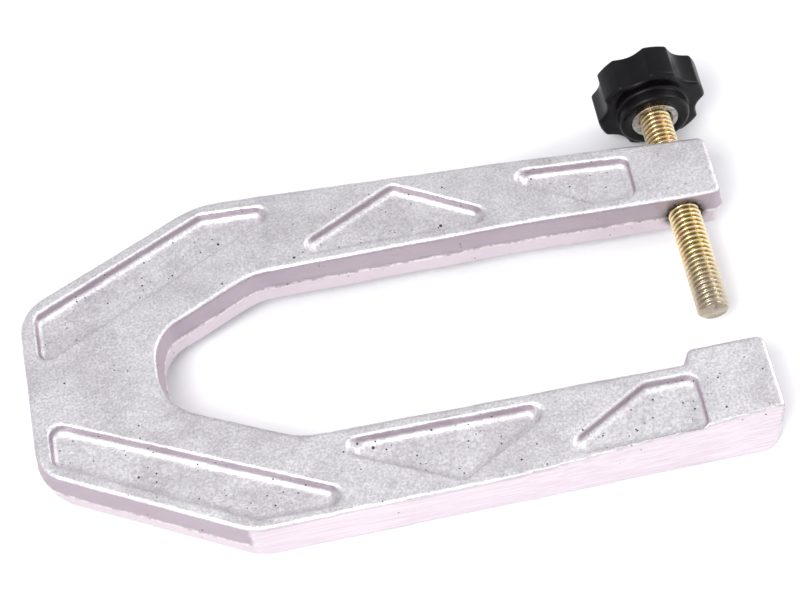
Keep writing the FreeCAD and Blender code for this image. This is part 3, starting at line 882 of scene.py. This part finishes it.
@dataclass
class Screw:
    """The fully threaded screw, with rolled, slightly rounded crests and a plain cut end."""

    pitch: float = mm(25.4 / 16)
    crest_radius: float = mm(4.725)
    root_radius: float = mm(3.85)
    crest_half: float = mm(0.1)
    root_half: float = mm(0.17)
    chamfer: float = mm(0.7)
    around: int = 72
    rings_per_turn: int = 16

    def build(self) -> bpy.types.Object:
        """Make the screw.

        Returns:
            The dressed object.
        """
        low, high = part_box(Node.SCREW.value)
        start, end = low.y, high.y
        rings = self.threaded(start, end)
        piece = grid_object("threaded_screw", rings)
        crisp(piece, 60.0)
        finish = YellowZinc(1000 * self.root_radius, 1000 * self.crest_radius, 1000 * start)
        dress(piece, finish.make(), Body.SCREW, Node.SCREW)
        return piece

    def threaded(self, start: float, end: float) -> np.ndarray:
        """Rings of the thread's surface.

        Args:
            start: where the tip is along the screw.
            end: where the screw ends in the knob.

        Returns:
            Points by ring, place on the ring and axis.
        """
        count = round((end - start) / self.pitch * self.rings_per_turn)
        heights = np.linspace(start, end, count + 1)[:, None]
        angles = np.linspace(0.0, 2 * math.pi, self.around, endpoint=False)[None, :]
        turn = (heights - start) / self.pitch - angles / (2 * math.pi)
        from_crest = np.abs(turn - np.round(turn)) * self.pitch
        flank = self.pitch / 2 - self.root_half - self.crest_half
        rise = np.clip((self.pitch / 2 - self.root_half - from_crest) / flank, 0.0, 1.0)
        rise = rise + 0.35 * (rise * rise * (3 - 2 * rise) - rise)
        radius = self.root_radius + (self.crest_radius - self.root_radius) * rise
        lead = np.minimum(heights - start, end - heights)
        radius = np.minimum(radius, self.crest_radius - self.chamfer + lead)
        across = radius * np.cos(angles)
        upward = -radius * np.sin(angles)
        return np.stack([across, np.broadcast_to(heights, radius.shape), upward], axis=2)


# ---- the knob and its bush ----


@dataclass
class Knob:
    """The moulded knob: a lobed disc with a round hub and a dished crown."""

    lobes: int = 6
    scallop_radius: float = mm(6.5)
    scallop_depth: float = mm(2.2)
    scallop_angle: float = math.radians(41.0)
    blend: float = mm(2.3)
    disc_edge: float = mm(1.1)
    hub_radius: float = mm(10.8)
    hub_edge: float = mm(1.2)
    hub_height: float = mm(4.3)
    hub_fillet: float = mm(0.9)
    crown: float = mm(1.2)
    dish_radius: float = mm(9.0)
    dish_depth: float = mm(0.8)
    dish_centre: float = mm(3.0)
    gap: float = mm(0.03)
    around: int = 288

    def build(self) -> bpy.types.Object:
        """Make the knob.

        Returns:
            The dressed object.
        """
        piece = grid_object("lobed_knob", turned(self.profile(), self.around, self.lobed))
        crisp(piece, 50.0)
        dress(piece, MouldedPlastic().make(), Body.SCREW, Node.KNOB)
        return piece

    def profile(self) -> list[tuple[float, float]]:
        """The knob's half section, from the end of the screw's hole round to the dish.

        Returns:
            Radius and height along the screw, point by point.
        """
        low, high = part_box(Node.KNOB.value)
        bush_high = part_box(Node.BUSH.value)[1]
        screw_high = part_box(Node.SCREW.value)[1]
        radius = high.z
        top = high.y
        back = top - self.crown
        disc = low.y + self.hub_height
        bush = bush_high.x + self.gap
        bore = screw_high.x + 2 * self.gap
        bush_end = bush_high.y + self.gap
        edge, hub = self.disc_edge, self.hub_radius
        crown_base = radius - self.scallop_depth - edge
        points = [(bore, screw_high.y), (bore, bush_end), (bush, bush_end), (bush, low.y + mm(0.3))]
        points += [(bush + mm(0.3), low.y)]
        points += arc((hub - self.hub_edge, low.y + self.hub_edge), self.hub_edge, -90.0, 0.0, 7)
        foot = hub + self.hub_fillet
        points += arc((foot, disc - self.hub_fillet), self.hub_fillet, 180.0, 90.0, 6)
        points += [(crown_base - mm(0.2), disc)]
        points += arc((radius - edge, disc + edge), edge, -90.0, 0.0, 8)
        points += [(radius, disc + share * (back - disc)) for share in (0.3, 0.5, 0.7)]
        points += arc((radius - edge, back - edge), edge, 0.0, 90.0, 8)
        points += [(crown_base, back + mm(0.08)), (crown_base - 2 * self.crown, top - mm(0.1))]
        points += [(self.dish_radius + mm(0.3), top), (self.dish_radius - mm(0.2), top - mm(0.15))]
        dish = top - self.dish_depth
        points += [(self.dish_radius - self.dish_depth, dish), (self.dish_centre, dish)]
        return points

    def lobed(self, radius: float, angles: np.ndarray) -> np.ndarray:
        """A ring's radius at each angle: round near the hub, lobed at the rim.

        Args:
            radius: the ring's radius on a lobe.
            angles: the angles round the ring.

        Returns:
            The radius at each angle.
        """
        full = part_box(Node.KNOB.value)[1].z
        inner = full - self.scallop_depth - self.disc_edge
        share = min(max((radius - inner) / (full - self.disc_edge - inner), 0.0), 1.0)
        if share == 0.0:
            return keep_round(radius, angles)
        step = 2 * math.pi / self.lobes
        off = (angles - self.scallop_angle + step / 2) % step - step / 2
        reach = full - self.scallop_depth + self.scallop_radius
        under = np.maximum(self.scallop_radius**2 - (reach * np.sin(off)) ** 2, 0.0)
        scallop = np.where(under > 0.0, reach * np.cos(off) - np.sqrt(under), 2 * full)
        weight = np.clip(0.5 + 0.5 * (full - scallop) / self.blend, 0.0, 1.0)
        rim = full + (scallop - full) * weight - self.blend * weight * (1 - weight)
        return radius + (rim - full) * share


@dataclass
class Bush:
    """The metal bush in the hub, with a chamfered mouth."""

    chamfer: float = mm(0.8)
    edge: float = mm(0.15)
    bore_gap: float = mm(0.06)
    around: int = 128

    def build(self) -> bpy.types.Object:
        """Make the bush.

        Returns:
            The dressed object.
        """
        low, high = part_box(Node.BUSH.value)
        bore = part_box(Node.SCREW.value)[1].x + self.bore_gap
        outer = high.x
        profile = [
            (bore, high.y), (bore, low.y + self.chamfer), (bore + self.chamfer / 2, low.y + self.chamfer / 2),
            (bore + self.chamfer, low.y), (outer - self.edge, low.y), (outer, low.y + self.edge),
            (outer, (low.y + high.y) / 2), (outer, high.y),
        ]
        piece = grid_object("knob_ring", turned(profile, self.around, keep_round), loop=True)
        crisp(piece, 30.0)
        dress(piece, TurnedMetal().make(), Body.CARRIER, Node.BUSH)
        return piece


# ---- the studio ----


@dataclass
class SoftBox:
    """One large square lamp that faces a point near the clamp."""

    name: str
    azimuth: float
    elevation: float
    distance: float
    size: float
    power: float
    colour: str = "#FFFFFF"

    def place(self, target: Vector) -> None:
        """Hang the lamp.

        Args:
            target: what it faces.
        """
        turn, rise = math.radians(self.azimuth), math.radians(self.elevation)
        away = Vector((math.sin(turn) * math.cos(rise), math.cos(turn) * math.cos(rise), math.sin(rise)))
        lamp = bpy.data.lights.new(self.name, "AREA")
        lamp.shape = "SQUARE"
        lamp.size = self.size
        lamp.energy = self.power
        lamp.color = linear(self.colour)[:3]
        holder = bpy.data.objects.new(self.name, lamp)
        holder.location = target + away * self.distance
        holder.rotation_mode = "QUATERNION"
        holder.rotation_quaternion = (-away).to_track_quat("-Z", "Y")
        bpy.context.scene.collection.objects.link(holder)


@dataclass
class Studio:
    """The floor, the lamps and the camera."""

    target: Vector = field(default_factory=lambda: Vector((mm(-86.7), mm(39.07), 0.0)))
    distance: float = mm(574.5)
    elevation: float = 57.44
    azimuth: float = 1.58
    roll: float = -9.87
    lens: float = 89.23
    sensor: float = 36.0
    floor_size: float = 6.0
    floor_gap: float = mm(0.15)
    sky: str = "#F2F2F6"
    sky_strength: float = 0.74

    def build(self) -> None:
        """Make the whole studio."""
        self.lay_floor()
        self.light()
        self.aim_camera()
        bpy.context.scene.view_settings.view_transform = "Standard"

    def lay_floor(self) -> None:
        """Lay the floor under the knob's rim and the lower arm, where the clamp would rest."""
        knob_low, knob_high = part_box(Node.KNOB.value)
        frame_low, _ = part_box(Node.FRAME.value)
        near = Vector((0.0, frame_low.y + mm(1.0), frame_low.z))
        far = Vector((0.0, knob_high.y - mm(10.5), knob_low.z))
        slope = (far.z - near.z) / (far.y - near.y)
        half = self.floor_size / 2
        corners = []
        for x, y in ((-half, -half), (half, -half), (half, half), (-half, half)):
            corners.append((x, y, near.z + slope * (y - near.y) - self.floor_gap))
        mesh = bpy.data.meshes.new("floor")
        mesh.from_pydata(corners, [], [(0, 1, 2, 3)])
        floor = bpy.data.objects.new("floor", mesh)
        floor.data.materials.append(StudioPaper().make())
        bpy.context.scene.collection.objects.link(floor)

    def light(self) -> None:
        """Set the pale surroundings and hang the lamps."""
        world = bpy.data.worlds.new("studio")
        world.use_nodes = True
        background = world.node_tree.nodes["Background"]
        background.inputs["Color"].default_value = linear(self.sky)
        background.inputs["Strength"].default_value = self.sky_strength
        bpy.context.scene.world = world
        for lamp in (
            SoftBox("key", 215.0, 55.0, 0.9, 0.4, 6.0),
            SoftBox("right", 80.0, 32.0, 0.9, 0.4, 2.6),
        ):
            lamp.place(self.target)

    def aim_camera(self) -> None:
        """Place the camera by its angles about the target."""
        rise, turn, tilt = math.radians(self.elevation), math.radians(self.azimuth), math.radians(self.roll)
        ahead = Vector((math.sin(turn) * math.cos(rise), math.cos(turn) * math.cos(rise), -math.sin(rise)))
        level = ahead.cross(Vector((0.0, 0.0, 1.0))).normalized()
        above = level.cross(ahead)
        right = level * math.cos(tilt) + above * math.sin(tilt)
        up = above * math.cos(tilt) - level * math.sin(tilt)
        data = bpy.data.cameras.new("camera")
        data.lens = self.lens
        data.sensor_width = self.sensor
        camera = bpy.data.objects.new("camera", data)
        camera.matrix_world = Matrix.Translation(self.target - ahead * self.distance) @ Matrix(
            (right, up, -ahead)
        ).transposed().to_4x4()
        bpy.context.scene.collection.objects.link(camera)
        bpy.context.scene.camera = camera


def main() -> None:
    """Build the clamp and the studio."""
    logging.basicConfig(level=logging.INFO, format="%(name)s: %(message)s")
    CastFrame().build()
    Screw().build()
    Knob().build()
    Bush().build()
    Studio().build()


if __name__ == "__main__":
    main()
